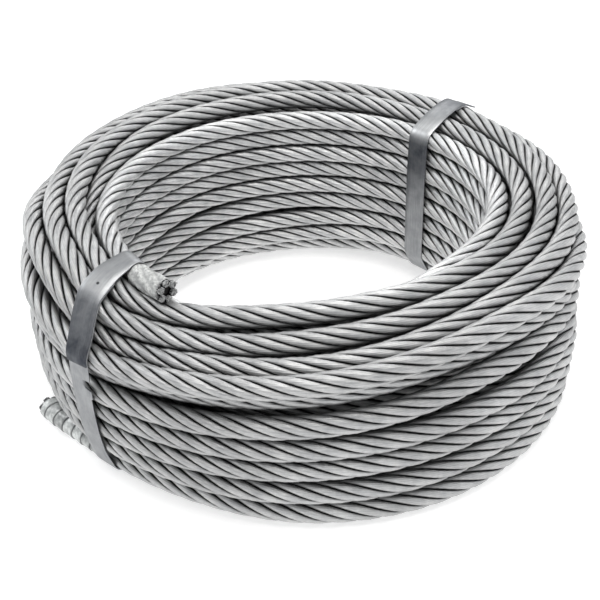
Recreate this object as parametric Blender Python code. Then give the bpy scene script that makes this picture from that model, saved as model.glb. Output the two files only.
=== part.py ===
"""A coil of 8 mm wire rope, tied by two steel straps. Metres, +Z up, the side the photo shows first at -Y.

The rope is one turned solid with its bore. Each bump on its walls and ends is one turn of rope. The turns
stand a little higher at the back than at the front, so the section is stretched by angle as it goes round.
"""

import math

import bpy
from mathutils import Vector

ROPE_D = 0.008
BORE_ROWS = 9
OUTER_ROWS = 8
LAYERS = 4
BORE_R = 8.45 * ROPE_D
LAYER_PITCH = 1.1625 * ROPE_D
TURN_STEPS = 48

# Crest height of each layer's end turn, from the bore outwards, in rope diameters: its mean round the coil,
# and how far it rises at the back and drops at the front.
TOP_MEAN = (8.56, 8.72, 8.71, 8.39)
TOP_SWING = (0.27, 0.86, 1.06, 0.86)
# How far each outer row lies inside the widest one, from the top down, in rope diameters.
OUTER_INSETS = (0.1, 0.5, 0.0, 0.0, 0.0, 0.0, 0.1, 0.3)
CROWN_HALF = 0.2 * ROPE_D
VALLEY_DEPTH = 0.28 * ROPE_D

STRAP_WIDTH = 1.19 * ROPE_D
STRAP_THICK = 0.0005
GAP = 0.0003
END_R = 0.5 * ROPE_D
INNER_END_DEG = (220.0, 236.0)
INNER_END_R = (9.525 * ROPE_D, 9.55 * ROPE_D)
OUTER_END_LENGTH = 3.65 * ROPE_D

OUTER_R = BORE_R + ROPE_D + (LAYERS - 1) * LAYER_PITCH
LAYER_R = [BORE_R + ROPE_D / 2 + i * LAYER_PITCH for i in range(LAYERS)]

# The angle at which each strap stands in the bore, over the top, down the side and at its foot. The outer end
# leaves the turns just past the front strap's foot.
STRAP_FRONT_DEG = (214.0, 216.5, 222.5, 226.0)
STRAP_BACK_DEG = (45.0, 45.0, 45.0, 45.0)
OUTER_END_DEG = STRAP_FRONT_DEG[3] - math.degrees(STRAP_WIDTH / 2 / OUTER_R) - 2.2


def clear_scene():
    for old in list(bpy.data.objects):
        bpy.data.objects.remove(old, do_unlink=True)


def material(name, colour, roughness):
    mat = bpy.data.materials.new(name)
    mat.use_nodes = True
    shader = mat.node_tree.nodes["Principled BSDF"]
    shader.inputs["Base Color"].default_value = (*colour, 1.0)
    shader.inputs["Metallic"].default_value = 1.0
    shader.inputs["Roughness"].default_value = roughness
    return mat


def top_z(layer, angle):
    """Crest height of a layer's end turn at this angle, in radians."""
    return (TOP_MEAN[layer] + TOP_SWING[layer] * math.sin(angle)) * ROPE_D


def row_heights(layer, rows, angle):
    """Centre heights of a layer's rows, from the bottom up."""
    low = ROPE_D / 2
    high = top_z(layer, angle) - ROPE_D / 2
    return [low + (high - low) * k / (rows - 1) for k in range(rows)]


def section(angle):
    """The rope's section as (radius, height) points: down the outer side, in, up the bore and out."""
    points = []
    heights = row_heights(LAYERS - 1, OUTER_ROWS, angle)[::-1]
    crests = [OUTER_R - inset * ROPE_D for inset in OUTER_INSETS]
    for k, (r, z) in enumerate(zip(crests, heights)):
        points.append((r, z + CROWN_HALF))
        points.append((r, z - CROWN_HALF))
        if k < OUTER_ROWS - 1:
            points.append((min(r, crests[k + 1]) - VALLEY_DEPTH, (z + heights[k + 1]) / 2))
    inward = LAYER_R[::-1]
    for k, r in enumerate(inward):
        tuck = 0.3 * ROPE_D if k == 0 else 0.0
        points.append((r + CROWN_HALF - tuck, 0.0))
        points.append((r - CROWN_HALF - tuck, 0.0))
        if k < LAYERS - 1:
            points.append(((r - tuck + inward[k + 1]) / 2, VALLEY_DEPTH))
    heights = row_heights(0, BORE_ROWS, angle)
    for k, z in enumerate(heights):
        points.append((BORE_R, z - CROWN_HALF))
        points.append((BORE_R, z + CROWN_HALF))
        if k < BORE_ROWS - 1:
            points.append((BORE_R + VALLEY_DEPTH, (z + heights[k + 1]) / 2))
    for k, r in enumerate(LAYER_R):
        tuck = 0.1 * ROPE_D if k == LAYERS - 1 else 0.0
        points.append((r - CROWN_HALF - tuck, top_z(k, angle)))
        points.append((r + CROWN_HALF - tuck, top_z(k, angle)))
        if k < LAYERS - 1:
            low = min(top_z(k, angle), top_z(k + 1, angle)) - VALLEY_DEPTH
            points.append((r + LAYER_PITCH / 2, low))
    return points


def ring_mesh(name):
    """The section carried round the axis, stretched by angle, as one closed mesh."""
    verts = []
    for step in range(TURN_STEPS):
        angle = 2 * math.pi * step / TURN_STEPS
        for r, z in section(angle):
            verts.append((r * math.cos(angle), r * math.sin(angle), z))
    count = len(section(0.0))
    faces = []
    for step in range(TURN_STEPS):
        here = step * count
        there = (step + 1) % TURN_STEPS * count
        for j in range(count):
            k = (j + 1) % count
            faces.append((here + j, here + k, there + k, there + j))
    mesh = bpy.data.meshes.new(name)
    mesh.from_pydata(verts, [], faces)
    return mesh


def polar(r, degrees, z):
    angle = math.radians(degrees)
    return Vector((r * math.cos(angle), r * math.sin(angle), z))


def tangent(degrees):
    angle = math.radians(degrees)
    return Vector((-math.sin(angle), math.cos(angle), 0.0))


def slot_cutter(name, inner, outer, collection):
    """A shallow slot under the coil, so that a strap lies flush with the bottom turns."""
    run = (polar(*outer) - polar(*inner)).normalized()
    ends = (
        (polar(*inner) - run * 0.008, tangent(inner[1])),
        (polar(*outer) + run * 0.008, tangent(outer[1])),
    )
    verts = []
    for z in (-0.005, STRAP_THICK + GAP):
        for side in (-1, 1):
            for spot, wide in ends:
                corner = spot + wide * side * (STRAP_WIDTH / 2 + GAP)
                verts.append((corner.x, corner.y, z))
    faces = [(0, 2, 3, 1), (4, 5, 7, 6), (0, 1, 5, 4), (2, 6, 7, 3), (0, 4, 6, 2), (1, 3, 7, 5)]
    mesh = bpy.data.meshes.new(name)
    mesh.from_pydata(verts, [], faces)
    box = bpy.data.objects.new(name, mesh)
    box.hide_render = True
    box.display_type = "WIRE"
    collection.objects.link(box)
    return box


def strap_path(bore, top, side, foot):
    """A strap's inner face as (radius, degrees, height): up the bore, out over the top and down the side."""
    inner_r = BORE_R - 2 * GAP
    low_crest = OUTER_R - OUTER_INSETS[-1] * ROPE_D

    def crest(layer, deg):
        return top_z(layer, math.radians(deg)) + 2 * GAP

    highest = max(range(LAYERS), key=lambda layer: crest(layer, top))
    path = [
        (inner_r, bore, STRAP_THICK),
        (inner_r, bore, crest(0, bore) - 0.0018),
        (BORE_R + 0.0010, bore, crest(0, bore)),
    ]
    if highest == 0:
        path.append((LAYER_R[0] + 0.0025, bore, crest(0, bore)))
    else:
        path.append((LAYER_R[1] - 0.0018, top, crest(1, top)))
        path.append((LAYER_R[2] + 0.0018, top, crest(2, top) + GAP))
    path += [
        (LAYER_R[3] + 0.0012, side, crest(3, side) + GAP),
        (OUTER_R + 2 * GAP, side, crest(3, side) - 0.0034),
        (OUTER_R + 2 * GAP, side, 0.020),
        (low_crest + 0.0012, foot, ROPE_D / 2 - CROWN_HALF - GAP),
        (low_crest - 0.0014, foot, STRAP_THICK),
    ]
    return path


def strap(name, degrees, doubled, coil, helpers, mat):
    """A closed band round the rope. The doubled stretch is where one end laps over the other."""
    path = strap_path(*degrees)
    points = [polar(*spot) for spot in path]
    across = [tangent(spot[1]) for spot in path]
    count = len(path)
    outer = []
    for i, here in enumerate(points):
        first = (here - points[i - 1]).cross(across[i]).normalized()
        second = (points[(i + 1) % count] - here).cross(across[i]).normalized()
        mitre = (first + second).normalized()
        thick = STRAP_THICK * (2 if i in doubled else 1)
        outer.append(here + mitre * (thick / mitre.dot(first)))
    verts = []
    for side in (-STRAP_WIDTH / 2, STRAP_WIDTH / 2):
        for loop in (points, outer):
            verts += [point + wide * side for point, wide in zip(loop, across)]
    faces = []
    for i in range(count):
        j = (i + 1) % count
        faces.append((i, j, count + j, count + i))
        faces.append((2 * count + i, 3 * count + i, 3 * count + j, 2 * count + j))
        faces.append((i, 2 * count + i, 2 * count + j, j))
        faces.append((count + i, count + j, 3 * count + j, 3 * count + i))
    mesh = bpy.data.meshes.new(name)
    mesh.from_pydata(verts, [], faces)
    band = bpy.data.objects.new(name, mesh)
    bpy.context.scene.collection.objects.link(band)
    band.data.materials.append(mat)
    slot = coil.modifiers.new("slot_" + name, "BOOLEAN")
    slot.operation = "DIFFERENCE"
    slot.solver = "EXACT"
    slot.object = slot_cutter("slot_" + name, path[0], path[-1], helpers)


def rope_end(name, points, mat):
    """A round bar along the points: the length of rope that leaves the wound turns."""
    curve = bpy.data.curves.new(name, "CURVE")
    curve.dimensions = "3D"
    curve.bevel_depth = END_R
    curve.bevel_resolution = 3
    curve.use_fill_caps = True
    line = curve.splines.new("POLY")
    line.points.add(len(points) - 1)
    for i, point in enumerate(points):
        line.points[i].co = (*point, 1.0)
    end = bpy.data.objects.new(name, curve)
    bpy.context.scene.collection.objects.link(end)
    end.data.materials.append(mat)


def ring_points(degrees, radii, heights, count):
    """Points round the coil's axis, from the first angle, radius and height to the second."""
    points = []
    for k in range(count):
        share = k / (count - 1)
        angle = degrees[0] + (degrees[1] - degrees[0]) * share
        r = radii[0] + (radii[1] - radii[0]) * share
        z = heights[0] + (heights[1] - heights[0]) * share
        points.append(polar(r, angle, z))
    return points


def main():
    clear_scene()
    helpers = bpy.data.collections.new("helpers")
    bpy.context.scene.collection.children.link(helpers)
    rope_mat = material("rope_steel", (0.55, 0.56, 0.57), 0.38)
    strap_mat = material("strap_steel", (0.30, 0.32, 0.36), 0.42)

    coil = bpy.data.objects.new("rope_coil", ring_mesh("rope_coil"))
    bpy.context.scene.collection.objects.link(coil)
    coil.data.materials.append(rope_mat)

    spot = math.radians(INNER_END_DEG[0])
    rest = top_z(0, spot) + 0.8 * END_R
    rope_end("rope_end_inner", ring_points(INNER_END_DEG, INNER_END_R, (rest, rest), 6), rope_mat)
    side = OUTER_R - OUTER_INSETS[-1] * ROPE_D + GAP + END_R
    start = polar(side, OUTER_END_DEG, END_R + GAP)
    run = (-tangent(OUTER_END_DEG) + Vector((0.0, 0.0, 0.04))).normalized() * OUTER_END_LENGTH
    rope_end("rope_end_outer", [start + run * share for share in (0.0, 0.25, 0.5, 0.75, 1.0)], rope_mat)
    strap("strap_front", STRAP_FRONT_DEG, (4, 5, 6), coil, helpers, strap_mat)
    strap("strap_back", STRAP_BACK_DEG, (), coil, helpers, strap_mat)


main()
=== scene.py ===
"""A coil of 8 mm galvanised wire rope, hand-wound in layers and tied by two steel straps.

Metres, +Z up, the side the photo shows first at -Y. Angles round the coil are in degrees, counterclockwise
from +X. Tables give radii and heights in rope diameters. The rope is one continuous route: from its inner
end down the bore wall, up through the hidden middle, outwards over the top and down the outer wall.
"""

import math

import bmesh
import bpy
import numpy as np
from mathutils import Matrix, Vector, noise


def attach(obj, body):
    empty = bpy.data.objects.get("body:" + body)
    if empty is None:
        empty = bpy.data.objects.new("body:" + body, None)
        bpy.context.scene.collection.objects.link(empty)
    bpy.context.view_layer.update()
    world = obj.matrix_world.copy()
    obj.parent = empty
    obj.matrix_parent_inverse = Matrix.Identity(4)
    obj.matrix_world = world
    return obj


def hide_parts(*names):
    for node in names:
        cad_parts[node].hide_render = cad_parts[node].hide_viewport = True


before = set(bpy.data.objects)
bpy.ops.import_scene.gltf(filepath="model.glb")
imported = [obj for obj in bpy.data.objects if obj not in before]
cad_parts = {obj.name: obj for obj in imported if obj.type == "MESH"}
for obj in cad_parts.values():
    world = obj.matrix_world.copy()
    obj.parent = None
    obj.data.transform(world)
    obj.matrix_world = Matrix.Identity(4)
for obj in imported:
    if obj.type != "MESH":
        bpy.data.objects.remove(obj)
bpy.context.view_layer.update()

# The rope. Its lay is the length in which a strand goes once round it.
ROPE_D = 0.008
LAY = 6.15 * ROPE_D
STRANDS = 6
STRAND_R = 0.163 * ROPE_D
STRAND_OFF = 0.4875 * ROPE_D - STRAND_R
WIRES = 12
RING_STEP = 0.0025

# The core, whose ends stay inside the strands' ends.
CORE_R = 0.235 * ROPE_D
CORE_BACK = 0.0012
CORE_STEP = 0.005

# The two coverings, as metres from the rope's inner end and from its outer end.
SLEEVE_SPAN = (0.0010, 0.0160)
TAPE_SPAN = np.array([0.0330, 0.0008])
TAPE_LAP = 0.0052
SKIN = 0.0004
# Radii, in rope diameters, between which a covering goes from darker in its hollows to plain on its crowns.
HOLLOW = (0.460, 0.492)

# The stretch over which the cut strands spread, and how much at each end.
FLARE_RUN = 0.004
FLARE_INNER = 0.11
FLARE_OUTER = 0.05

STRAP_WIDTH = 0.0095
STRAP_THICK = 0.0005

# The winding. The last three are the height of the lowest centreline, the least distance between two turns
# and the radius of the bore wall's turns.
START_DEG = 236.0
STATIONS = 120
TURNS = 31
FLOOR_H = 0.565
SPACING = 0.975
BORE_R = 8.95

# The photo's camera. The photo's side, the focal length and the point straight ahead are in pixels.
PHOTO_SIDE = 600.0
FOCAL = 1048.0
AHEAD = (302.9, 266.2)
SENSOR_MM = 36.0
CAMERA_TARGET = (0.0, 0.0, 0.0372)
CAMERA_DISTANCE = 0.404
CAMERA_LIFT_DEG = 31.4
CAMERA_ROLL_DEG = -1.25


def camera():
    """The photo's viewpoint, above the front, with the horizon a little tilted."""
    target = Vector(CAMERA_TARGET)
    lift = math.radians(CAMERA_LIFT_DEG)
    roll = math.radians(CAMERA_ROLL_DEG)
    place = target + CAMERA_DISTANCE * Vector((0.0, -math.cos(lift), math.sin(lift)))
    ahead = (target - place).normalized()
    right = ahead.cross(Vector((0.0, 0.0, 1.0))).normalized()
    up = right.cross(ahead)
    tilted_right = math.cos(roll) * right + math.sin(roll) * up
    tilted_up = math.cos(roll) * up - math.sin(roll) * right
    data = bpy.data.cameras.new("camera")
    data.sensor_width = SENSOR_MM
    data.lens = FOCAL / PHOTO_SIDE * SENSOR_MM
    data.shift_x = (PHOTO_SIDE / 2 - AHEAD[0]) / PHOTO_SIDE
    data.shift_y = (AHEAD[1] - PHOTO_SIDE / 2) / PHOTO_SIDE
    data.clip_start = 0.01
    obj = bpy.data.objects.new("camera", data)
    matrix = Matrix((tilted_right, tilted_up, -ahead)).transposed().to_4x4()
    matrix.translation = place
    obj.matrix_world = matrix
    bpy.context.scene.collection.objects.link(obj)
    bpy.context.scene.camera = obj


# Each turn runs from START_DEG clockwise round to START_DEG again, through points (angle, radius, height).
FREE_END = [
    (236, 9.70, 8.40), (228, 9.52, 8.42), (216, 9.28, 8.42), (203, 9.02, 8.36), (180, 8.95, 8.35),
    (90, 8.95, 8.33), (45, 9.02, 8.33), (10, 9.10, 8.33), (340, 8.86, 8.30), (325, 8.68, 8.16),
    (310, 8.56, 7.96), (298, 8.56, 7.62), (285, 8.72, 7.30), (269, 8.88, 7.02), (250, 8.95, 6.92),
]
# The turns under it on the bore wall: one row of heights a turn, at these angles, and one radius a turn.
BORE_ANGLES = (200, 151, 139, 127, 109, 90, 52, 42, 24, 345)
BORE_ROWS = [
    (7.33, 7.31, 7.28, 7.37, 7.40, 7.40, 7.47, 7.42, 7.42, 7.40),
    (6.40, 6.42, 6.46, 6.48, 6.46, 6.46, 6.54, 6.48, 6.48, 6.45),
    (5.45, 5.48, 5.52, 5.55, 5.53, 5.53, 5.62, 5.55, 5.52, 5.50),
    (4.30, 4.28, 4.40, 4.55, 4.55, 4.60, 4.70, 4.62, 4.58, 4.55),
    (3.05, 3.03, 3.15, 3.30, 3.46, 3.62, 3.78, 3.68, 3.65, 3.60),
    (1.98, 1.95, 1.97, 2.10, 2.22, 2.42, 2.86, 2.74, 2.70, 2.66),
    (1.22, 1.22, 1.22, 1.27, 1.32, 1.48, 1.93, 1.80, 1.76, 1.72),
    (0.57, 0.57, 0.57, 0.57, 0.57, 0.62, 0.96, 0.88, 0.78, 0.60),
]
BORE_RADII = (9.06, 8.95, 9.06, 8.95, 9.00, 8.95, 8.95, 9.48)
# The turns that show on top, from the bore outwards.
TOP_TURNS = [[
    (225, 9.80, 6.85), (203, 9.58, 7.25), (188, 9.55, 7.70), (165, 9.80, 8.40), (140, 10.00, 8.90),
    (90, 10.11, 9.08), (45, 10.03, 8.84), (10, 10.16, 8.62), (341, 9.90, 8.38), (328, 9.66, 8.32),
    (312, 9.42, 8.38), (299, 9.22, 8.26), (284, 9.04, 8.10), (269, 9.00, 7.89), (258, 9.15, 7.78),
    (245, 9.52, 7.66), (236, 9.85, 7.66),
], [
    (223, 10.36, 8.05), (217, 10.35, 8.35), (203, 10.15, 8.62), (180, 10.35, 8.90), (150, 10.80, 9.10),
    (120, 11.15, 9.25), (90, 11.27, 9.24), (65, 11.26, 9.06), (45, 11.30, 9.04), (25, 11.28, 8.93),
    (0, 11.18, 8.68), (340, 11.05, 8.45), (322, 10.84, 8.42), (305, 10.46, 8.20), (291, 10.20, 7.77),
    (277, 10.11, 7.53), (269, 10.13, 7.40), (256, 10.30, 7.20), (241, 10.76, 7.10),
], [
    (233, 11.06, 7.18), (224, 11.42, 7.50), (217, 10.98, 8.20), (203, 11.10, 8.75), (180, 11.35, 8.75),
    (150, 11.90, 8.80), (120, 12.28, 8.94), (90, 12.40, 8.68), (65, 12.26, 8.34), (45, 12.28, 8.24),
    (22, 12.30, 8.28), (0, 12.08, 8.32), (340, 12.00, 8.34), (322, 11.78, 8.35), (305, 11.45, 7.90),
    (290, 11.27, 7.40), (269, 11.27, 6.95), (250, 11.30, 6.75),
], [
    (232, 11.50, 6.60), (224, 11.75, 6.75), (217, 11.88, 7.40), (203, 12.00, 8.30), (190, 12.15, 8.50),
    (170, 12.25, 8.00), (140, 12.30, 7.75), (90, 12.40, 7.60), (45, 12.30, 7.42), (20, 12.36, 7.40),
    (0, 12.26, 7.36), (340, 12.55, 7.60), (322, 12.60, 8.00), (311, 12.45, 8.02), (295, 12.40, 7.67),
    (280, 12.40, 7.25), (269, 12.40, 6.98), (255, 12.40, 6.74), (241, 12.40, 6.45),
]]
# The turns down the outside, from the top.
OUTER_TURNS = [[
    (230, 12.40, 6.25), (220, 12.55, 6.40), (205, 12.58, 6.70), (190, 12.42, 7.00), (150, 12.30, 6.64),
    (90, 12.40, 6.45), (0, 12.28, 6.40), (335, 12.35, 6.45), (320, 12.20, 6.80), (300, 11.85, 6.75),
    (285, 11.75, 6.35), (269, 11.72, 6.02), (250, 11.72, 5.75), (236, 11.80, 5.55),
], [
    (224, 12.00, 5.20), (210, 12.25, 5.30), (190, 12.40, 5.60), (150, 12.38, 5.44), (90, 12.40, 5.30),
    (0, 12.38, 5.30), (339, 12.46, 5.40), (318, 12.46, 5.82), (305, 12.40, 5.80), (288, 12.40, 5.40),
    (273, 12.40, 5.12), (258, 12.40, 4.95), (241, 12.40, 4.75),
], [
    (229, 12.40, 4.45), (222, 12.40, 4.20), (205, 12.45, 4.30), (180, 12.40, 4.32), (90, 12.40, 4.10),
    (0, 12.46, 4.00), (322, 12.50, 3.95), (305, 12.48, 4.22), (286, 12.40, 4.05), (269, 12.40, 3.95),
    (250, 12.40, 3.87), (236, 12.40, 3.82),
], [
    (226, 12.40, 3.62), (205, 12.40, 3.45), (180, 12.40, 3.20), (90, 12.40, 2.90), (0, 12.56, 2.90),
    (335, 12.60, 2.95), (310, 12.50, 3.12), (287, 12.42, 3.04), (269, 12.40, 2.94), (251, 12.40, 2.90),
    (238, 12.40, 2.88),
], [
    (226, 12.38, 2.80), (205, 12.35, 2.60), (180, 12.30, 2.20), (90, 12.30, 1.75), (0, 12.50, 1.70),
    (335, 12.54, 1.72), (310, 12.44, 1.80), (287, 12.36, 1.66), (269, 12.34, 1.70), (250, 12.30, 1.82),
    (239, 12.30, 1.98),
], [
    (228, 12.30, 1.96), (205, 12.20, 1.75), (180, 12.15, 1.20), (140, 12.10, 0.60), (90, 12.10, 0.52),
    (0, 12.42, 0.52), (300, 12.45, 0.52), (276, 12.30, 0.52), (259, 12.12, 0.66), (249, 11.97, 0.72),
    (236, 11.86, 0.70),
]]
TAIL = [(229, 11.87, 0.66), (222, 11.92, 0.62), (216, 12.10, 0.60), (210, 12.46, 0.60), (203, 12.96, 0.60)]
# The hidden turns in the order they are wound, as (layer, row) from the bore and the floor. Each layer is
# (radius, height of its top row at the back and at the front, rows up to there at the back and the front).
HIDDEN_ROWS = (
    (1, 1), (2, 1), (2, 2), (1, 2), (1, 3), (2, 3), (2, 4), (1, 4), (1, 5), (2, 5), (2, 6), (1, 6),
)
HIDDEN_LAYERS = {1: (10.11, 9.08, 7.4, 6.0, 7.0), 2: (11.27, 9.28, 7.0, 6.0, 6.0)}
# Where the hidden turns hand over to the first turn on top.
HIDDEN_END = (9.95, 6.35, 6.35)
# Heights of the bore wall's turns at the front, where they are hidden.
BORE_FRONT = 7.9
BORE_DROP = 0.925
# How freely the packing moves the points of each kind of turn.
FREE_BORE, FREE_END_TURN, FREE_SEEN, FREE_HALF, FREE_HIDDEN = 0.08, 0.1, 0.12, 0.4, 1.0


def turn_tables():
    """(angle, radius, height, freedom) knots of every turn. Freedom is how far the packing may move it."""
    turns = [[(*knot, FREE_END_TURN) for knot in FREE_END]]
    for k, (r, heights) in enumerate(zip(BORE_RADII, BORE_ROWS), 1):
        front = max(BORE_FRONT - BORE_DROP * (k + 1), FLOOR_H)
        turn = [(angle, r, h, FREE_BORE) for angle, h in zip(BORE_ANGLES, heights)]
        if k < len(BORE_ROWS):
            turn += [(300, BORE_R, front + 0.08, FREE_HALF), (250, BORE_R, front, FREE_HALF)]
        else:
            crossing = ((318, 9.8), (295, HIDDEN_LAYERS[1][0]), (250, HIDDEN_LAYERS[1][0]))
            turn += [(angle, r, FLOOR_H, FREE_HIDDEN) for angle, r in crossing]
        turns.append(turn)
    spots = []
    for layer, row in HIDDEN_ROWS:
        r, top_back, top_front, rows_back, rows_front = HIDDEN_LAYERS[layer]
        spots.append((
            r,
            FLOOR_H + (top_back - FLOOR_H) * (row - 1) / rows_back,
            FLOOR_H + (top_front - FLOOR_H) * (row - 1) / rows_front,
        ))
    for (r, back, front), after in zip(spots, spots[1:] + [HIDDEN_END]):
        knots = (
            (215, r, (front + back) / 2), (180, r, back), (350, r, back),
            (300, after[0], after[2]), (250, after[0], after[2]),
        )
        turns.append([(*knot, FREE_HIDDEN) for knot in knots])
    turns += [[(*knot, FREE_SEEN) for knot in turn] for turn in TOP_TURNS + OUTER_TURNS]
    return turns


def smooth_through(at, knots, values):
    """Monotone cubic (no overshoot) through the knots, evaluated at the given positions."""
    x = np.asarray(knots, float)
    y = np.asarray(values, float)
    step = np.diff(x)
    slope = np.diff(y) / step
    before, beyond = slope[:-1], slope[1:]
    same = before * beyond > 0
    w1 = 2 * step[1:] + step[:-1]
    w2 = step[1:] + 2 * step[:-1]
    safe_before = np.where(same, before, 1.0)
    safe_beyond = np.where(same, beyond, 1.0)
    inner = np.where(same, (w1 + w2) / (w1 / safe_before + w2 / safe_beyond), 0.0)
    lean = np.concatenate([slope[:1], inner, slope[-1:]])
    k = np.clip(np.searchsorted(x, at, side="right") - 1, 0, len(step) - 1)
    t = (at - x[k]) / step[k]
    h00 = (1 + 2 * t) * (1 - t) ** 2
    h10 = t * (1 - t) ** 2
    h01 = t * t * (3 - 2 * t)
    h11 = t * t * (t - 1)
    return h00 * y[k] + h10 * step[k] * lean[k] + h01 * y[k + 1] + h11 * step[k] * lean[k + 1]


PACK_ROUNDS = 260
# The share by which a point moves, each round, to its neighbours' middle and back to its place in the tables.
SMOOTH_LEAST, SMOOTH_MOST = 0.15, 0.5
PULL_SHARE, PULL_MOST = 0.12, 0.1


def packed(route, freedom):
    """Pushes apart the turns that lie in each other, at each angle, and keeps each turn a smooth line."""
    total = len(route)
    turns = -(-total // STATIONS)
    wanted = route.copy()
    index = np.arange(turns * STATIONS).reshape(turns, STATIONS).T
    real = index < total
    index = np.minimum(index, total - 1)
    for _ in range(PACK_ROUNDS):
        spots = route[index]
        loose = freedom[index] * real
        gap = spots[:, :, None, :] - spots[:, None, :, :]
        apart = np.sqrt((gap ** 2).sum(-1)) + 1e-9
        both = real[:, :, None] & real[:, None, :] & ~np.eye(turns, dtype=bool)[None]
        short = np.where(both, np.clip(SPACING - apart, 0.0, None), 0.0)
        share = loose[:, :, None] / (loose[:, :, None] + loose[:, None, :] + 1e-9)
        push = (gap / apart[..., None] * (short * share)[..., None]).sum(2) * 0.5
        moved = np.zeros_like(route)
        np.add.at(moved, index[real], push[real])
        route = route + moved
        smooth = route.copy()
        smooth[1:-1] = (route[:-2] + route[2:]) / 2
        route += (smooth - route) * np.minimum(SMOOTH_MOST, SMOOTH_LEAST + freedom)[:, None]
        route += (wanted - route) * np.clip(PULL_SHARE - PULL_SHARE * freedom, 0.0, PULL_MOST)[:, None]
        route[:, 1] = np.maximum(route[:, 1], FLOOR_H)
    return route


def rope_route():
    """The rope's centreline, inner end first, and its winding.

    Returns evenly spaced points, the metres along the rope and the degrees wound at each, and the coil: the
    degrees wound at each station with the radius and height there, in rope diameters.
    """
    knots = []
    for k, turn in enumerate(turn_tables()):
        for angle, *rest in turn:
            wound = (START_DEG - angle) % 360
            if wound == 0 and knots:
                wound = 360
            knots.append((360 * k + wound, *rest))
    knots += [(360 * TURNS + START_DEG - angle, r, h, 0.0) for angle, r, h in TAIL]
    at, radius, height, freedom = np.array(knots).T
    step = 360 / STATIONS
    stations = np.arange(0.0, at[-1] + step / 2, step)
    route = np.stack([smooth_through(stations, at, radius), smooth_through(stations, at, height)], 1)
    route = packed(route, np.interp(stations, at, freedom))
    fine = np.arange(0.0, stations[-1], step / 4)
    r = smooth_through(fine, stations, route[:, 0])
    h = smooth_through(fine, stations, route[:, 1])
    angle = np.radians(START_DEG - fine)
    points = np.stack([r * np.cos(angle), r * np.sin(angle), h], 1)
    points *= ROPE_D
    run = np.concatenate([[0.0], np.cumsum(np.linalg.norm(np.diff(points, axis=0), axis=1))])
    even = np.linspace(0.0, run[-1], int(round(run[-1] / RING_STEP)) + 1)
    centre = np.stack([np.interp(even, run, points[:, k]) for k in range(3)], 1)
    return centre, even, np.interp(even, run, fine), (stations, route)


def unit(v):
    """Vectors made one long."""
    return v / np.linalg.norm(v, axis=-1, keepdims=True)


def along(points):
    """The unit direction of travel at each point."""
    lead = np.empty_like(points)
    lead[1:-1] = points[2:] - points[:-2]
    lead[0] = points[1] - points[0]
    lead[-1] = points[-1] - points[-2]
    return unit(lead)


def put(name, mesh, material, smooth=True):
    """Makes a piece of the rope or a strap from its mesh, riding the root body."""
    if smooth:
        mesh.shade_smooth()
    mesh.materials.append(material)
    obj = bpy.data.objects.new(name, mesh)
    bpy.context.scene.collection.objects.link(obj)
    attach(obj, "root")
    return obj


def face_outward(mesh):
    """Turns every face of a mesh outward."""
    work = bmesh.new()
    work.from_mesh(mesh)
    bmesh.ops.recalc_face_normals(work, faces=work.faces)
    work.to_mesh(mesh)
    work.free()


def add_mark(mesh, name, values):
    """Stores one value a vertex on the mesh, for the materials."""
    made = mesh.attributes.new(name, "FLOAT", "POINT")
    made.data.foreach_set("value", np.asarray(values).ravel().astype(np.float32))


def skin(count, rim, closed=False):
    """The faces between rings of points, each of four corners."""
    here = np.arange(count if closed else count - 1)[:, None] * rim
    j = np.arange(rim)[None, :]
    nxt = (j + 1) % rim
    beyond = (here + rim) % (count * rim)
    return np.stack([here + j, here + nxt, beyond + nxt, beyond + j], -1).reshape(-1, 4)


def ringed(name, rings, material, closed=False):
    """A piece through rings with the same number of points each: capped, or joined from last to first."""
    count, rim = rings.shape[:2]
    faces = skin(count, rim, closed).tolist()
    if not closed:
        faces += [list(range(rim))[::-1], list(range((count - 1) * rim, count * rim))]
    mesh = bpy.data.meshes.new(name)
    mesh.from_pydata(rings.reshape(-1, 3).tolist(), [], faces)
    face_outward(mesh)
    return put(name, mesh, material)


def hull(points):
    """The convex hull, counterclockwise, of an array of 2-D points."""
    order = sorted(map(tuple, points))
    sides = []
    for row in (order, order[::-1]):
        side = []
        for spot in row:
            while len(side) > 1 and (
                (side[-1][0] - side[-2][0]) * (spot[1] - side[-2][1])
                - (side[-1][1] - side[-2][1]) * (spot[0] - side[-2][0])
            ) <= 0:
                side.pop()
            side.append(spot)
        sides.append(side[:-1])
    return np.array(sides[0] + sides[1])


# Places along a strap are in rope diameters, outwards from where it lies on top of the turns at this radius.
STRAP_ZERO = 10.4
# The middle of the bundle's section, as (radius, height). A strap's run lists, in degrees, the direction seen
# from there and the angle round the coil at which the strap crosses it.
SECTION_MIDDLE = (10.7, 4.0)
FRONT_RUN = (
    (-180, 220.6), (-135, 223.4), (-90, 225.8), (-42, 226.3), (-10, 225.8), (12, 225.7), (29, 226.0),
    (43, 226.3), (56, 225.5), (67, 223.9), (76, 222.5), (86, 221.4), (93, 220.8), (120, 220.0), (150, 220.0),
    (180, 220.6),
)
BACK_RUN = ((-180, 44.5), (180, 44.5))
# The front strap's nicked edge, as (place, change of the edge in metres).
NICKS = (
    (4.58, 0.0), (4.60, -0.0026), (5.02, -0.0023), (5.04, 0.0005), (5.50, 0.0006), (5.52, 0.0),
)
# Painted reflection, highlight and shade along each strap, as (place, darkness). The last places are the
# lapped end.
FRONT_PAINTED_LIGHT = (
    (0.3, 0.30), (3.0, 0.56), (12.0, 0.60), (20.0, 0.60), (22.6, 0.52), (24.5, 0.44), (24.8, 0.52),
    (25.3, 0.80), (26.6, 0.88), (27.2, 0.95), (28.0, 0.96),
)
BACK_PAINTED_LIGHT = (
    (0.0, 0.50), (12.0, 0.46), (14.0, 0.50), (19.5, 0.58), (21.5, 0.86), (22.7, 0.92), (23.0, 0.60),
    (23.2, 0.20), (23.7, 0.12), (24.4, 0.48), (25.2, 0.58), (26.0, 0.80),
)
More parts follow.
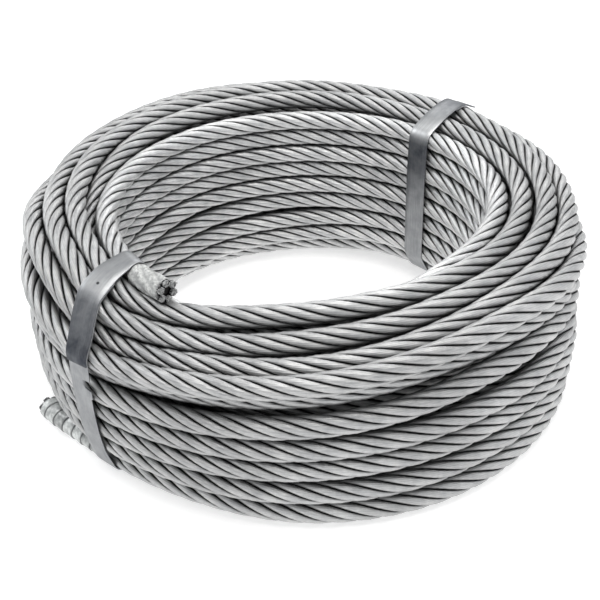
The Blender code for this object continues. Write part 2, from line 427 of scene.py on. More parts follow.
# Where each strap starts, how far its other end laps past that place, and how many metres its tip stands off.
# The dimple is (across, along from the tip, 0) in centimetres.
FRONT_START, FRONT_TONGUE, FRONT_LIFT = 0.3, 3.95, 0.0
BACK_START, BACK_TONGUE, BACK_LIFT = 0.4, 2.1, 0.0013
FRONT_DIMPLE = (0.0, -2.56, 0.0)
# In rope diameters: the air under a strap, the step along it, and the middle radius of the turns under it.
STRAP_AIR = 0.012
STRAP_STEP = 0.09
STRAP_MIDWAY = 11.3
# A strap's edge rounding in metres, and the height of its lapped end over the band in strap thicknesses.
STRAP_EDGE = 0.00014
LAP_RISE = 1.06


def strap_angle(r, h, crossings):
    """The angle round the coil at which a strap crosses the radius r and height h."""
    toward = np.degrees(np.arctan2(h - SECTION_MIDDLE[1], r - SECTION_MIDDLE[0]))
    return np.interp(toward, [row[0] for row in crossings], [row[1] for row in crossings])


def strap_loop(coil, crossings):
    """A tight strap's line round the turns, as (radius, height) in rope diameters, from its zero outwards."""
    stations, route = coil
    rounds = np.arange(TURNS + 1) * 360.0
    r = np.full(len(rounds), 11.0)
    h = np.full(len(rounds), 5.0)
    for _ in range(8):
        at = rounds + (START_DEG - strap_angle(r, h, crossings)) % 360
        held = at <= stations[-1]
        r = np.interp(at, stations, route[:, 0])
        h = np.interp(at, stations, route[:, 1])
    r, h = r[held], h[held]
    around = np.linspace(0, 2 * np.pi, 48, endpoint=False)
    reach = 0.5 + STRAP_THICK / ROPE_D * 0.5 + STRAP_AIR
    ring = np.stack([
        (r[:, None] + reach * np.cos(around)).ravel(),
        (h[:, None] + reach * np.sin(around)).ravel(),
    ], 1)
    ring[:, 1] = np.maximum(ring[:, 1], STRAP_THICK / ROPE_D * 0.5)
    loop = hull(ring)[::-1]
    over = (loop[:, 0] < STRAP_ZERO) & (loop[:, 1] > SECTION_MIDDLE[1] + 2)
    last_in = np.argmax(np.where(over, loop[:, 0], 0.0))
    before, after = loop[last_in], loop[(last_in + 1) % len(loop)]
    share = (STRAP_ZERO - before[0]) / (after[0] - before[0])
    zero = before + share * (after - before)
    return np.concatenate([[zero], np.roll(loop, -last_in - 1, axis=0), [zero]])


def softened(values, rounds):
    """A row of values with its corners smoothed and its ends kept."""
    for _ in range(rounds):
        values[1:-1] = (values[:-2] + 2 * values[1:-1] + values[2:]) / 4
    return values


def strap(name, coil, crossings, start, tongue, torn, painted_light, lift, material):
    """A flat steel band pulled tight round the turns, its end lapped over its start and pressed home.

    Torn lists (place along the band, change of its far edge) where that edge is nicked or proud. The tones
    list (place, darkness) of the painted reflection, highlight and shade along the band. Lift is how far the
    lapped end stands off at its tip.
    """
    sides = []
    for side in (-1, 1):
        slant = math.degrees(side * STRAP_WIDTH / 2 / (STRAP_MIDWAY * ROPE_D))
        loop = strap_loop(coil, [(toward, at + slant) for toward, at in crossings])
        run = np.concatenate([[0], np.cumsum(np.linalg.norm(np.diff(loop, axis=0), axis=1))])
        sides.append((loop, run))
    whole = (sides[0][1][-1] + sides[1][1][-1]) / 2
    even = np.union1d(np.arange(start, whole + tongue, STRAP_STEP), [place for place, _ in torn])
    lines = []
    for loop, run in sides:
        at = even / whole * run[-1] % run[-1]
        lines.append([softened(np.interp(at, run, loop[:, k]), 6) for k in (0, 1)])
    (near_r, near_h), (far_r, far_h) = lines
    tilt = np.stack([(far_r - near_r) / 2, (far_h - near_h) / 2], 1) * ROPE_D / (STRAP_WIDTH / 2)
    r, h = (near_r + far_r) / 2, (near_h + far_h) / 2
    turn = softened(np.radians(strap_angle(r, h, crossings)), 10)
    line = np.stack([r * np.cos(turn), r * np.sin(turn), h], 1) * ROPE_D
    lead = along(line)
    radial = np.stack([np.cos(turn), np.sin(turn), 0 * turn], 1)
    upward = np.array([0.0, 0.0, 1.0])
    across = np.stack([-np.sin(turn), np.cos(turn), 0 * turn], 1)
    across = across + tilt[:, :1] * radial + tilt[:, 1:] * upward
    across = unit(across - lead * (across * lead).sum(1, keepdims=True) * 0.8)
    out = unit(np.cross(across, lead))
    middle = np.array(SECTION_MIDDLE) * ROPE_D
    outside = (r * ROPE_D - middle[0])[:, None] * radial + (h * ROPE_D - middle[1])[:, None] * upward
    out *= np.sign((out * outside).sum(1, keepdims=True))
    lap = np.clip((even - (whole + start - 1.0)) / 0.9, 0, 1)
    raised = lap * lap * (3 - 2 * lap) * STRAP_THICK * LAP_RISE
    raised += lift * np.clip((even - even[-1] + 1.2) / 1.2, 0, 1) ** 2
    line = line + out * raised[:, None]
    half, flat, edge = STRAP_WIDTH / 2, STRAP_THICK / 2, STRAP_EDGE
    rows = [
        (-half + edge, flat), (-half / 2, flat * 1.02), (0.0, flat * 1.04), (half / 2, flat * 1.02),
        (half - edge, flat), (half, flat - edge), (half, -flat + edge), (half - edge, -flat),
        (-half + edge, -flat), (-half, -flat + edge), (-half, flat - edge),
    ]
    wide = np.tile([row[0] for row in rows], (len(line), 1))
    tall = np.array([row[1] for row in rows])
    if torn:
        places, changes = zip(*torn)
        edges = np.interp(even, places, changes, left=0.0, right=0.0)
        wide += (wide > half * 0.6) * edges[:, None]
    verts = line[:, None, :] + across[:, None, :] * wide[:, :, None] + out[:, None, :] * tall[None, :, None]
    verts[:, :, 2] = np.maximum(verts[:, :, 2], 0.0)
    piece = ringed(name, verts, material)
    uv = piece.data.uv_layers.new(name="band")
    from_tip = (even - even[-1]) * ROPE_D
    for loop, spot in zip(piece.data.loops, uv.data):
        ring, j = divmod(loop.vertex_index, len(rows))
        spot.uv = (wide[ring, j] * 100, from_tip[ring] * 100)
    # Painted reflection, highlight and shade along the band, stored as its tone.
    places, darkness = zip(*painted_light)
    add_mark(piece.data, "tone", np.repeat(np.interp(even, places, darkness), len(rows)))
    return piece


# The points round a strand's section, from its crown, and the power that squares it.
RIM = np.radians([0.0, 30.0, 58.0, 74.0, 90.0, 180.0, 270.0, 286.0, 302.0, 330.0])
SQUARE = 0.84
# Degrees from a strand's crown, and how dark the painted shade and grease in the groove is there.
GROOVE_DEG = (58.0, 74.0, 90.0)
GROOVE_DARK = (0.0, 0.45, 1.0)
# Rope diameters from the next turn's centreline between which the painted shade and grease where turns touch
# fades.
CONTACT = (0.49, 0.62)
# Openness that counts as closed and as open, and the brightness where it is closed.
SHADE = (0.05, 0.58, 0.42)
# Radii, in rope diameters, between which the painted light on the bore's wall goes over into the rest.
BORE_EDGE = (8.9, 9.5)
# Openness is worked out at every so many rings, at this many degrees round the section.
SHADE_EVERY = 4
SHADE_DEG = 15.0
SHADE_FACINGS = 24
# In rope diameters: how far away a turn still shades another, and the radius it shades with. Then how much
# more the light from above counts.
SHADE_REACH = 6
SHADE_R = 0.49
UP_LIGHT = 0.25


def neighbours(travel, coil):
    """The radius and height, in metres, of every other turn beside each point of the rope."""
    stations, route = coil
    shifts = np.array([m for m in range(-TURNS, TURNS + 1) if m != 0]) * 360.0
    at = travel[:, None] + shifts[None, :]
    r = np.interp(at, stations, route[:, 0], left=0.0, right=0.0)
    h = np.interp(at, stations, route[:, 1], left=-9.0, right=-9.0)
    return r * ROPE_D, h * ROPE_D


def closeness(verts, beside):
    """How near each vertex is to the next turn: 1 where they touch, 0 where the surface lies open. It sets
    the painted shade and grease where turns touch.
    """
    r, h = beside
    own_r = np.hypot(verts[..., 0], verts[..., 1])
    nearest = np.full(own_r.shape, 1.0)
    for j in range(r.shape[1]):
        apart = np.hypot(own_r - r[:, j:j + 1], verts[..., 2] - h[:, j:j + 1])
        nearest = np.minimum(nearest, apart)
    share = np.clip((nearest / ROPE_D - CONTACT[0]) / (CONTACT[1] - CONTACT[0]), 0.0, 1.0)
    return 1.0 - share * share * (3 - 2 * share)


def openness(travel, coil, beside):
    """How open to the room each point round the rope's own section lies, from 0 to 1.

    Returns the rings it is worked out at, their places in the coil's section and the openness round each.
    """
    stations, route = coil
    picks = np.arange(0, len(travel), SHADE_EVERY)
    own = np.stack([np.interp(travel[picks], stations, route[:, k]) for k in (0, 1)], -1)
    r, h = beside[0][picks] / ROPE_D, beside[1][picks] / ROPE_D
    facing = np.radians(np.arange(0, 360, SHADE_DEG))
    looks = np.radians(np.arange(-75, 76, SHADE_DEG))
    gathered = np.zeros((len(picks), len(facing)))
    for j, angle in enumerate(facing):
        spot_r = own[:, :1] + 0.5 * np.cos(angle)
        spot_h = own[:, 1:] + 0.5 * np.sin(angle)
        to_r, to_h = r - spot_r, h - spot_h
        apart = np.hypot(to_r, to_h)
        toward = np.arctan2(to_h, to_r)
        half = np.arcsin(np.clip(SHADE_R / np.maximum(apart, SHADE_R), 0, 1))
        weights = 0.0
        for look in looks:
            weight = np.cos(look) * (1 - UP_LIGHT + UP_LIGHT * np.sin(angle + look))
            off = np.abs((toward - (angle + look) + np.pi) % (2 * np.pi) - np.pi)
            clear = ~((off < half) & (apart < SHADE_REACH)).any(1)
            gathered[:, j] += weight * clear
            weights += weight
        gathered[:, j] /= weights
    return picks, own * ROPE_D, gathered


def shade_of(verts, lit):
    """The openness at each vertex, taken by its place round the rope's section."""
    picks, own, gathered = lit
    rings = np.arange(len(verts))
    centre_r = np.interp(rings, picks, own[:, 0])
    centre_h = np.interp(rings, picks, own[:, 1])
    own_r = np.hypot(verts[..., 0], verts[..., 1])
    angle = np.arctan2(verts[..., 2] - centre_h[:, None], own_r - centre_r[:, None])
    angle = np.degrees(angle) % 360 / SHADE_DEG
    low = np.floor(angle).astype(int) % SHADE_FACINGS
    share = angle - np.floor(angle)
    row = rings / SHADE_EVERY
    first = np.minimum(row.astype(int), len(picks) - 2)
    blend = np.clip(row - first, 0, 1)[:, None]
    total = 0.0
    for step, part in ((0, 1 - blend), (1, blend)):
        table = gathered[first + step]
        here = np.take_along_axis(table, low, 1) * (1 - share)
        there = np.take_along_axis(table, (low + 1) % SHADE_FACINGS, 1) * share
        total = total + part * (here + there)
    return total


def frame_along(centre):
    """At each point of a line: its direction and two square to it, the first as upright as can be."""
    lead = along(centre)
    over = unit(np.array([0.0, 0.0, 1.0]) - lead * lead[:, 2:3])
    return lead, over, np.cross(lead, over)


def flare(at, whole):
    """How far the strands lie from the rope's line: 1 along the rope, more at its two cut ends."""
    inner = np.clip(1 - at / FLARE_RUN, 0, 1) ** 2
    outer = np.clip(1 - (whole - at) / FLARE_RUN, 0, 1) ** 2
    return 1.0 + FLARE_INNER * inner + FLARE_OUTER * outer


def strand(k, centre, run, beside, lit, material):
    """One strand of the rope: a tube that winds right-handed round the rope's line for its whole length."""
    lead, over, side = frame_along(centre)
    turn = 2 * np.pi * (run / LAY + k / STRANDS)
    out = np.cos(turn)[:, None] * over + np.sin(turn)[:, None] * side
    line = centre + out * (STRAND_OFF * flare(run, run[-1]))[:, None]
    heading = along(line)
    out = unit(out - heading * (out * heading).sum(1, keepdims=True))
    flank = np.cross(heading, out)
    rings, rim = len(line), len(RIM)
    up = np.sign(np.cos(RIM)) * np.abs(np.cos(RIM)) ** SQUARE
    aside = np.sign(np.sin(RIM)) * np.abs(np.sin(RIM)) ** SQUARE
    verts = line[:, None, :] + STRAND_R * (
        up[None, :, None] * out[:, None, :] + aside[None, :, None] * flank[:, None, :]
    )
    # Painted shade and grease where the turns touch.
    contact_shade = closeness(verts, beside)
    shade = shade_of(verts, lit)
    verts = verts.reshape(-1, 3)
    quads = skin(rings, rim)
    mesh = bpy.data.meshes.new("strand_%d" % (k + 1))
    mesh.vertices.add(len(verts))
    mesh.vertices.foreach_set("co", verts.astype(np.float32).ravel())
    caps = np.array([np.arange(rim)[::-1], (rings - 1) * rim + np.arange(rim)])
    loops = np.concatenate([quads.ravel(), caps.ravel()])
    mesh.loops.add(len(loops))
    mesh.loops.foreach_set("vertex_index", loops.astype(np.int32))
    starts = np.concatenate([np.arange(len(quads)) * 4, len(quads) * 4 + np.array([0, rim])])
    mesh.polygons.add(len(starts))
    mesh.polygons.foreach_set("loop_start", starts.astype(np.int32))
    mesh.update(calc_edges=True)
    lean = 2 * np.pi * STRAND_OFF / LAY
    angle = np.append(RIM, 2 * np.pi) / (2 * np.pi)
    travel = run / (2 * np.pi * STRAND_R) * lean
    first, second = angle[:-1], angle[1:]
    here, there = travel[:-1, None], travel[1:, None]
    wires = np.stack([first + here, second + here, second + there, first + there], -1)
    lengths = np.stack([run[:-1], run[:-1], run[1:], run[1:]], -1)
    lengths = lengths[:, None, :].repeat(rim, 1).reshape(-1) * 10
    layer = mesh.uv_layers.new(name="wires")
    flat = np.zeros((len(loops), 2), np.float32)
    flat[: wires.size, 0] = wires.ravel() * WIRES
    flat[: wires.size, 1] = lengths
    layer.data.foreach_set("uv", flat.ravel())
    from_crown = np.abs((np.degrees(RIM) + 180) % 360 - 180)
    # Painted shade and grease: dark in the grooves between strands, and all dark on the two end rings.
    groove = np.tile(np.interp(from_crown, GROOVE_DEG, GROOVE_DARK), (rings, 1))
    groove[[0, -1]] = 1.0
    # Painted light: the bore's wall is brightened.
    reach = np.hypot(verts[:, 0], verts[:, 1]) / ROPE_D
    bore = np.clip((BORE_EDGE[1] - reach) / (BORE_EDGE[1] - BORE_EDGE[0]), 0.0, 1.0)
    for name, values in (("groove", groove), ("contact_shade", contact_shade), ("shade", shade), ("bore", bore)):
        add_mark(mesh, name, values)
    return put("rope_strand_%d" % (k + 1), mesh, material)


def places_along(centre, run, at):
    """The points of the rope's line at the given distances along it."""
    return np.stack([np.interp(at, run, centre[:, k]) for k in range(3)], 1)


def spokes(line, around):
    """Unit vectors square to a line, at each of its points one for each angle round it."""
    _, over, side = frame_along(line)
    return np.cos(around)[None, :, None] * over[:, None, :] + np.sin(around)[None, :, None] * side[:, None, :]


def core(centre, run, material):
    """The dark fibre rope the strands are laid round, its ends a little inside the strands' ends."""
    at = np.arange(CORE_BACK, run[-1] - CORE_BACK, CORE_STEP)
    line = places_along(centre, run, at)
    return ringed("rope_core", line[:, None, :] + CORE_R * spokes(line, np.arange(8) * np.pi / 4), material)


# A covering's points round, the metres between its rings, and how many outer rings there are to an inner one.
SLEEVE_POINTS = 72
SLEEVE_STEP = 0.00025
INNER_EVERY = 8
# Each covering's shape in rope diameters: its least radius, and what the strands, the laps and creases add.
SLEEVE_R, SLEEVE_LOBE, SLEEVE_CREASE = 0.462, 0.045, 0.016
TAPE_R, TAPE_LOBE, TAPE_STEP, TAPE_CREASE = 0.474, 0.018, 0.040, 0.014
# The share of its length over which a covering's ends round off, and how many metres the sleeve's ends fray.
SLEEVE_ROUND = 0.03
TAPE_ROUND = 0.015
RAGGED = 0.0011


def sleeve(name, centre, run, first, last, shape, material):
    """A thin tube round the rope between two places along it.

    Shape gives its radius and its shift along the rope, from the place, the angle and the share of the tube.
    """
    at = np.linspace(first, last, int((last - first) / SLEEVE_STEP))
    line = places_along(centre, run, at)
    around = np.linspace(0, 2 * np.pi, SLEEVE_POINTS, endpoint=False)
    shares = (at - first) / (last - first)
    shapes = np.array([
        [shape(place, angle, share) for angle in around] for place, share in zip(at, shares)
    ])
    out = spokes(line, around)
    base = line[:, None, :] + shapes[:, :, 1:] * along(line)[:, None, :]
    outer = base + out * shapes[:, :, :1]
    inner = base + out * (shapes[:, :, :1] - SKIN)
    picks = np.unique(np.append(np.arange(0, len(at), INNER_EVERY), len(at) - 1))[::-1]
    piece = ringed(name, np.concatenate([outer, inner[picks]]), material, closed=True)
    whole = np.concatenate([np.arange(len(at)), picks])
    laps = np.array([[tape_turn(place, angle) for angle in around] for place in at])
    low = 1 - np.clip((shapes[:, :, 0] / ROPE_D - HOLLOW[0]) / (HOLLOW[1] - HOLLOW[0]), 0, 1)
    add_mark(piece.data, "laps", (laps - np.floor(laps.min()))[whole])
    add_mark(piece.data, "hollow", low[whole])
    return piece


def ring_spot(angle, scale, depth):
    """A place for noise that closes on itself round a ring."""
    return Vector((math.cos(angle) * scale, math.sin(angle) * scale, depth))


def lobe_at(place, angle):
    """1 on the crown of a strand, 0 in the groove between two."""
    return 0.5 + 0.5 * math.cos(STRANDS * (angle - 2 * math.pi * place / LAY))


def rounded(share, reach):
    """The part of its radius that a covering has at a share of its length: 1, and less at its two ends."""
    ends = min(share, 1 - share) / reach
    return 1.0 if ends > 1 else 0.90 + 0.10 * math.sqrt(max(ends, 0.0))


def crumpled(place, angle, share):
    """The inner end's sleeve: thin stuff drawn into the grooves of the rope, creased, with ragged ends."""
    spot = ring_spot(angle, 2.0, place / 0.0016)
    crease = noise.noise(spot) + 0.5 * noise.noise(spot * 2.7 + Vector((9.0, 4.0, 1.0)))
    open_end = FLARE_INNER * STRAND_OFF * max(0.0, 1 - place / FLARE_RUN) ** 2
    lobe = SLEEVE_LOBE * lobe_at(place, angle) ** 0.7
    radius = ROPE_D * (SLEEVE_R + lobe + SLEEVE_CREASE * crease) + open_end
    ragged = noise.noise(ring_spot(angle, 1.6, 7.0)) + 0.6 * noise.noise(ring_spot(angle, 4.5, 3.0))
    return radius * rounded(share, SLEEVE_ROUND), ragged * RAGGED * abs(2 * share - 1) ** 3


def tape_turn(place, angle):
    """How many turns of tape lie between the rope's start and this place."""
    return place / TAPE_LAP + 0.16 * math.sin(angle + 0.6) + 0.3


def taped(place, angle, share):
    """The outer end's tape: wound nearly square to the rope, each turn lapped over the one before."""
    phase = tape_turn(place, angle) % 1.0
    step = min(phase / 0.06, 1.0) * (1.0 - phase)
    crease = noise.noise(ring_spot(angle, 1.3, place / 0.004))
    lobe = TAPE_LOBE * lobe_at(place, angle)
    radius = ROPE_D * (TAPE_R + lobe + TAPE_STEP * step + TAPE_CREASE * crease)
    return radius * rounded(share, TAPE_ROUND), 0.0


# The wires of a strand's section, as (how many, distance from its middle in wire radii), and a wire's sides.
WIRE_LAYERS = ((1, 0.0), (6, 2.0), (12, 3.9))
WIRE_SIDES = 7
# A sawn wire: where it starts inside the strand, its least and greatest reach past the strand's end, the
# further reach of a few, and how far it may lean aside for its length.
WIRE_ROOT = -0.0006
WIRE_REACH = (0.0002, 0.0005)
WIRE_FURTHER, FURTHER_SHARE = 0.0007, 0.1
WIRE_LEAN = 0.05


def cut_wires(name, centre, run, at_start, material):
    """The sawn ends of the nineteen wires of each strand, a little uneven in length."""
    lead, over, side = frame_along(centre)
    end = 0 if at_start else -1
    outward = -lead[end] if at_start else lead[end]
    reach = STRAND_OFF * flare(run[[end]], run[-1])[0]
    thin = STRAND_R / 5
    chance = np.random.default_rng(31 if at_start else 47)
    verts, faces = [], []

    def aside(angle):
        return math.cos(angle) * over[end] + math.sin(angle) * side[end]

    for k in range(STRANDS):
        turn = 2 * np.pi * (run[end] / LAY + k / STRANDS)
        middle = centre[end] + aside(turn) * reach
        for count, radii in WIRE_LAYERS:
            for m in range(count):
                spot = middle + radii * thin * aside(2 * np.pi * (m + 0.3 * k) / count)
                lean = unit(outward + WIRE_LEAN * chance.normal(size=3))
                tip = chance.uniform(*WIRE_REACH)
                tip += WIRE_FURTHER if chance.random() < FURTHER_SHARE else 0.0
                base = len(verts)
                for step in (WIRE_ROOT, tip):
                    for angle in np.arange(WIRE_SIDES) * 2 * np.pi / WIRE_SIDES:
                        verts.append(tuple(spot + lean * step + 0.96 * thin * aside(angle)))
                top = base + WIRE_SIDES
                for j in range(WIRE_SIDES):
                    nxt = (j + 1) % WIRE_SIDES
                    faces.append((base + j, base + nxt, top + nxt, top + j))
                faces.append(tuple(range(top, top + WIRE_SIDES)))
    mesh = bpy.data.meshes.new(name)
    mesh.from_pydata(verts, [], faces)
    face_outward(mesh)
    return put(name, mesh, material, smooth=False)


def new_material(name):
    """A new material, its node tree and its shader."""
    mat = bpy.data.materials.new(name)
    mat.use_nodes = True
    return mat, mat.node_tree, mat.node_tree.nodes["Principled BSDF"]


def node(tree, kind, **inputs):
    """A new node with constants on some of its inputs."""
    made = tree.nodes.new(kind)
    for name, value in inputs.items():
        made.inputs[name.replace("_", " ")].default_value = value
    return made


def ranged(tree, value, low, high, start=0.0, end=1.0):
    """A value mapped from the range low to high onto start to end."""
    made = node(tree, "ShaderNodeMapRange", From_Min=low, From_Max=high, To_Min=start, To_Max=end)
    tree.links.new(value, made.inputs["Value"])
    return made.outputs["Result"]


def maths(tree, kind, first, second=None):
    """A math node on one or two values, each a socket or a number."""
    made = tree.nodes.new("ShaderNodeMath")
    made.operation = kind
    for slot, value in enumerate((first, second)):
        if isinstance(value, (int, float)):
            made.inputs[slot].default_value = value
        elif value is not None:
            tree.links.new(value, made.inputs[slot])
    return made.outputs[0]


def painted(tree, share, under, over, kind="MIX"):
    """One colour over another. The share and each colour may be a socket or a constant."""
    made = tree.nodes.new("ShaderNodeMix")
    made.data_type = "RGBA"
    made.blend_type = kind
    for slot, value in ((0, share), (6, under), (7, over)):
        if isinstance(value, bpy.types.NodeSocket):
            tree.links.new(value, made.inputs[slot])
        else:
            made.inputs[slot].default_value = value
    return made.outputs[2]


def mark(tree, name):
    """A value stored on the mesh."""
    made = tree.nodes.new("ShaderNodeAttribute")
    made.attribute_name = name
    return made.outputs["Fac"]


def cloud(tree, scale, detail=3.0, rough=0.5):
    """Noise by the place on the surface, as a value from 0 to 1."""
    place = tree.nodes.new("ShaderNodeNewGeometry")
    made = node(tree, "ShaderNodeTexNoise", Scale=scale, Detail=detail, Roughness=rough)
    tree.links.new(place.outputs["Position"], made.inputs["Vector"])
    return made.outputs["Fac"]


def unwrapped(tree, layer):
    """The coordinates of a UV layer, and the first of them alone."""
    uv = tree.nodes.new("ShaderNodeUVMap")
    uv.uv_map = layer
    split = tree.nodes.new("ShaderNodeSeparateXYZ")
    tree.links.new(uv.outputs["UV"], split.inputs[0])
    return uv.outputs["UV"], split.outputs["X"]


def bumped(tree, shader, height, strength, distance):
    """Gives the shader a bump of the given height, strength and depth in metres."""
    bump = node(tree, "ShaderNodeBump", Strength=strength, Distance=distance)
    tree.links.new(height, bump.inputs["Height"])
    tree.links.new(bump.outputs["Normal"], shader.inputs["Normal"])


# Colours of the metals and coverings, linear.
ZINC_DULL = (0.45, 0.455, 0.46, 1.0)
ZINC_CLEAN = (0.66, 0.66, 0.655, 1.0)
# Near-black painted shade and grease, for the grooves and where turns touch.
SHADE_AND_GREASE = (0.008, 0.008, 0.009, 1.0)
SAWN_DULL = (0.30, 0.305, 0.31, 1.0)
SAWN_BRIGHT = (0.74, 0.74, 0.73, 1.0)
FIBRE_DARK = (0.006, 0.006, 0.006, 1.0)
FIBRE_LIGHT = (0.022, 0.020, 0.018, 1.0)
SLEEVE_PALE = (0.74, 0.75, 0.73, 1.0)
SLEEVE_WORN = (0.46, 0.47, 0.46, 1.0)
SLEEVE_DARK = (0.20, 0.205, 0.21, 1.0)
TAPE_PALE = (0.62, 0.64, 0.63, 1.0)
TAPE_SOIL = (0.26, 0.27, 0.27, 1.0)
TAPE_SEAM = (0.04, 0.042, 0.045, 1.0)
BAND_BRIGHT = (0.66, 0.67, 0.675, 1.0)
BAND_DARK = (0.060, 0.066, 0.080, 1.0)
BAND_DENT = (0.05, 0.05, 0.055, 1.0)


def rope_material():
    """Galvanised wire: wires along each strand, zinc bloom, painted light in the bore, painted shade where
    the rope is closed in, and painted shade and grease in the grooves and where turns touch.
    """
    mat, tree, shader = new_material("galvanised_wire")
    shader.inputs["Metallic"].default_value = 1.0
    wave = maths(tree, "SINE", maths(tree, "MULTIPLY", unwrapped(tree, "wires")[1], math.pi))
    ridge = maths(tree, "ABSOLUTE", wave)
    bloom = cloud(tree, 170.0, 5.0, 0.62)
    broad = cloud(tree, 34.0, 2.0)
    tone = painted(tree, ranged(tree, bloom, 0.30, 0.70), ZINC_DULL, ZINC_CLEAN)
    level = ranged(tree, broad, 0.35, 0.65, 0.9, 1.08)
    level = maths(tree, "MULTIPLY", level, ranged(tree, ridge, 0.0, 0.5, 0.80, 1.0))
    level = maths(tree, "MULTIPLY", level, ranged(tree, mark(tree, "shade"), *SHADE, 1.0))
    # Painted light in the bore, up to 1.35 times brighter.
    level = maths(tree, "MULTIPLY", level, ranged(tree, mark(tree, "bore"), 0.0, 1.0, 1.0, 1.35))
    lit = painted(tree, 1.0, tone, level, "MULTIPLY")
    # Painted shade and grease, in the grooves between strands and where turns touch.
    shade_and_grease = maths(tree, "MAXIMUM", mark(tree, "groove"), mark(tree, "contact_shade"))
    tree.links.new(painted(tree, shade_and_grease, lit, SHADE_AND_GREASE), shader.inputs["Base Color"])
    tree.links.new(ranged(tree, bloom, 0.2, 0.8, 0.46, 0.60), shader.inputs["Roughness"])
    grain = maths(tree, "ADD", ridge, maths(tree, "MULTIPLY", bloom, 0.5))
    bumped(tree, shader, grain, 0.5, 0.0001)
    return mat


def cut_material():
    """The bare ends of sawn wires, speckled bright and dull."""
    mat, tree, shader = new_material("cut_wire")
    shader.inputs["Metallic"].default_value = 0.6
    tone = ranged(tree, cloud(tree, 1500.0, 2.0), 0.35, 0.65)
    tree.links.new(painted(tree, tone, SAWN_DULL, SAWN_BRIGHT), shader.inputs["Base Color"])
    tree.links.new(ranged(tree, tone, 0.0, 1.0, 0.42, 0.6), shader.inputs["Roughness"])
    return mat


def fibre_material():
    """The core's greased fibre, nearly black."""
    mat, tree, shader = new_material("greased_fibre")
    shader.inputs["Roughness"].default_value = 0.8
    tone = cloud(tree, 900.0, 3.0)
    tree.links.new(painted(tree, tone, FIBRE_DARK, FIBRE_LIGHT), shader.inputs["Base Color"])
    return mat


def sleeve_material():
    """The inner end's pale, dry, dusty covering, with the wire's grey rubbed through it."""
    mat, tree, shader = new_material("dry_covering")
    grime_and_hollows = ranged(tree, cloud(tree, 900.0, 4.0, 0.65), 0.38, 0.64)
    # Darker in the covering's hollows, over the random grime.
    grime_and_hollows = maths(tree, "MAXIMUM", grime_and_hollows, maths(tree, "MULTIPLY", mark(tree, "hollow"), 0.9))
    patch = ranged(tree, cloud(tree, 330.0, 3.0), 0.42, 0.62)
    pale = painted(tree, patch, SLEEVE_PALE, SLEEVE_WORN)
    soiled = painted(tree, maths(tree, "MULTIPLY", grime_and_hollows, 0.75), pale, SLEEVE_DARK)
    tree.links.new(soiled, shader.inputs["Base Color"])
    tree.links.new(ranged(tree, grime_and_hollows, 0.0, 1.0, 0.75, 0.5), shader.inputs["Roughness"])
    bumped(tree, shader, cloud(tree, 1400.0, 4.0, 0.6), 0.7, 0.00015)
    return mat


def tape_material():
    """The outer end's glossy grey tape, finely wrinkled and a little soiled."""
    mat, tree, shader = new_material("glossy_tape")
    soil = ranged(tree, cloud(tree, 420.0, 4.0, 0.6), 0.38, 0.64)
    laps = mark(tree, "laps")
    part = maths(tree, "FRACT", laps)
    seam = maths(tree, "MAXIMUM", ranged(tree, part, 0.03, 0.12, 1.0, 0.0), ranged(tree, part, 0.95, 1.0))
    odd = node(tree, "ShaderNodeTexWhiteNoise")
    odd.noise_dimensions = "1D"
    tree.links.new(maths(tree, "FLOOR", laps), odd.inputs["W"])
    band = ranged(tree, odd.outputs["Value"], 0.0, 1.0, 0.75, 1.30)
    tone = painted(tree, soil, TAPE_PALE, TAPE_SOIL)
    tone = painted(tree, 1.0, tone, band, "MULTIPLY")
    tone = painted(tree, maths(tree, "MULTIPLY", seam, 0.85), tone, TAPE_SEAM)
    tree.links.new(tone, shader.inputs["Base Color"])
    tree.links.new(ranged(tree, soil, 0.0, 1.0, 0.14, 0.30), shader.inputs["Roughness"])
    bumped(tree, shader, cloud(tree, 500.0, 3.0), 0.4, 0.0002)
    return mat


def strap_material(name, dimple):
    """Satin blue-grey strapping with bright edges. Dimple is the place of a punched dot, or None."""
    mat, tree, shader = new_material(name)
    shader.inputs["Metallic"].default_value = 1.0
    uv, across = unwrapped(tree, "band")
    stretch = tree.nodes.new("ShaderNodeVectorMath")
    stretch.operation = "MULTIPLY"
    tree.links.new(uv, stretch.inputs[0])
    stretch.inputs[1].default_value = (26.0, 0.9, 1.0)
    marks = node(tree, "ShaderNodeTexNoise", Scale=1.0, Detail=5.0, Roughness=0.62)
    tree.links.new(stretch.outputs["Vector"], marks.inputs["Vector"])
    worn = ranged(tree, cloud(tree, 190.0, 4.0, 0.6), 0.36, 0.68, -0.07, 0.07)
    # The tone is painted reflection, highlight and shade along the band, with random wear added.
    tone = maths(tree, "ADD", mark(tree, "tone"), worn)
    steel = painted(tree, tone, BAND_BRIGHT, BAND_DARK)
    streak = ranged(tree, marks.outputs["Fac"], 0.35, 0.65, 0.88, 1.08)
    edge = ranged(tree, maths(tree, "ABSOLUTE", across), 0.44, 0.475, 1.0, 1.15)
    steel = painted(tree, 1.0, steel, maths(tree, "MULTIPLY", streak, edge), "MULTIPLY")
    height = maths(tree, "MULTIPLY", marks.outputs["Fac"], 0.3)
    if dimple:
        apart = tree.nodes.new("ShaderNodeVectorMath")
        apart.operation = "DISTANCE"
        tree.links.new(uv, apart.inputs[0])
        apart.inputs[1].default_value = dimple
        dent = ranged(tree, apart.outputs["Value"], 0.040, 0.065, 1.0, 0.0)
        steel = painted(tree, dent, steel, BAND_DENT)
        height = maths(tree, "SUBTRACT", height, dent)
    tree.links.new(steel, shader.inputs["Base Color"])
    tree.links.new(ranged(tree, tone, 0.3, 0.9, 0.45, 0.55), shader.inputs["Roughness"])
    bumped(tree, shader, height, 0.35, 0.0001)
    return mat


FLOOR_REACH = 3.0
FLOOR_GREY = (0.6, 0.6, 0.6, 1.0)
FLOOR_GLOW = 0.60
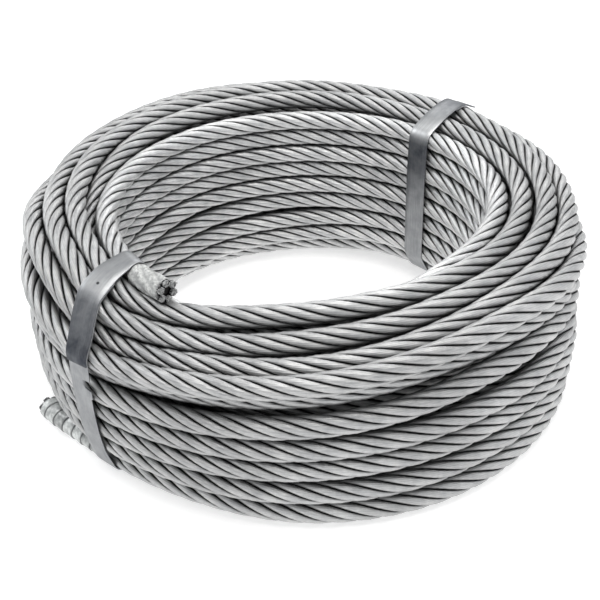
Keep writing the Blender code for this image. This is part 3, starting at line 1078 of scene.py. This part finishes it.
# The surroundings, whose white horizon goes over into their own light between two heights.
WORLD_COLOUR = (0.97, 0.985, 1.0, 1.0)
WORLD = 0.55
HORIZON = (0.10, 0.22)
HORIZON_WHITE = 1.05
# Each lamp is (name, place, side of its square, watts, colour), and all face the coil.
LAMP_TARGET = (0.0, 0.0, 0.04)
LAMPS = (
    ("key", (0.0, -0.25, 1.2), 0.6, 6.0, (1.0, 0.98, 0.955)),
    ("left", (-1.0, 0.45, 0.85), 0.5, 4.2, (0.98, 0.99, 1.0)),
    ("right", (1.1, 0.1, 0.75), 0.5, 1.9, (0.98, 0.99, 1.0)),
    ("back", (0.2, 0.9, 0.8), 0.6, 3.2, (1.0, 1.0, 1.0)),
)


def room():
    """A plain pale floor and soft studio light, white at the horizon so that the floor has no visible end."""
    mesh = bpy.data.meshes.new("floor")
    corners = [(x * FLOOR_REACH, y * FLOOR_REACH, 0) for x, y in ((-1, -1), (1, -1), (1, 1), (-1, 1))]
    mesh.from_pydata(corners, [], [(0, 1, 2, 3)])
    pale, _, shader = new_material("pale_floor")
    shader.inputs["Base Color"].default_value = FLOOR_GREY
    shader.inputs["Roughness"].default_value = 0.9
    shader.inputs["Emission Color"].default_value = (1.0, 1.0, 1.0, 1.0)
    shader.inputs["Emission Strength"].default_value = FLOOR_GLOW
    mesh.materials.append(pale)
    floor = bpy.data.objects.new("floor", mesh)
    bpy.context.scene.collection.objects.link(floor)
    world = bpy.data.worlds.new("studio")
    world.use_nodes = True
    tree = world.node_tree
    back = tree.nodes["Background"]
    back.inputs["Color"].default_value = WORLD_COLOUR
    where = tree.nodes.new("ShaderNodeTexCoord")
    split = tree.nodes.new("ShaderNodeSeparateXYZ")
    tree.links.new(where.outputs["Generated"], split.inputs[0])
    light = ranged(tree, split.outputs["Z"], *HORIZON, HORIZON_WHITE, WORLD)
    tree.links.new(light, back.inputs["Strength"])
    bpy.context.scene.world = world
    for name, place, size, power, colour in LAMPS:
        data = bpy.data.lights.new(name, "AREA")
        data.size = size
        data.energy = power
        data.color = colour
        lamp = bpy.data.objects.new(name, data)
        lamp.location = place
        ahead = Vector(LAMP_TARGET) - Vector(place)
        lamp.rotation_euler = ahead.to_track_quat("-Z", "Y").to_euler()
        bpy.context.scene.collection.objects.link(lamp)
    bpy.context.scene.view_settings.view_transform = "Standard"


camera()
centre, run, travel, coil = rope_route()
wire = rope_material()
beside = neighbours(travel, coil)
lit = openness(travel, coil, beside)
strands = [strand(k, centre, run, beside, lit, wire) for k in range(STRANDS)]
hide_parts("rope_coil", "rope_end_inner", "rope_end_outer")
cut_steel = cut_material()
within = [
    core(centre, run, fibre_material()),
    cut_wires("end_wires_inner", centre, run, True, cut_steel),
    cut_wires("end_wires_outer", centre, run, False, cut_steel),
    sleeve("end_sleeve_inner", centre, run, *SLEEVE_SPAN, crumpled, sleeve_material()),
    sleeve("end_tape_outer", centre, run, *(run[-1] - TAPE_SPAN), taped, tape_material()),
]
front = strap(
    "steel_strap_front", coil, FRONT_RUN, FRONT_START, FRONT_TONGUE, NICKS, FRONT_PAINTED_LIGHT, FRONT_LIFT,
    strap_material("strapping_front", FRONT_DIMPLE),
)
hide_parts("strap_front")
back = strap(
    "steel_strap_back", coil, BACK_RUN, BACK_START, BACK_TONGUE, (), BACK_PAINTED_LIGHT, BACK_LIFT,
    strap_material("strapping_back", None),
)
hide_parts("strap_back")
room()
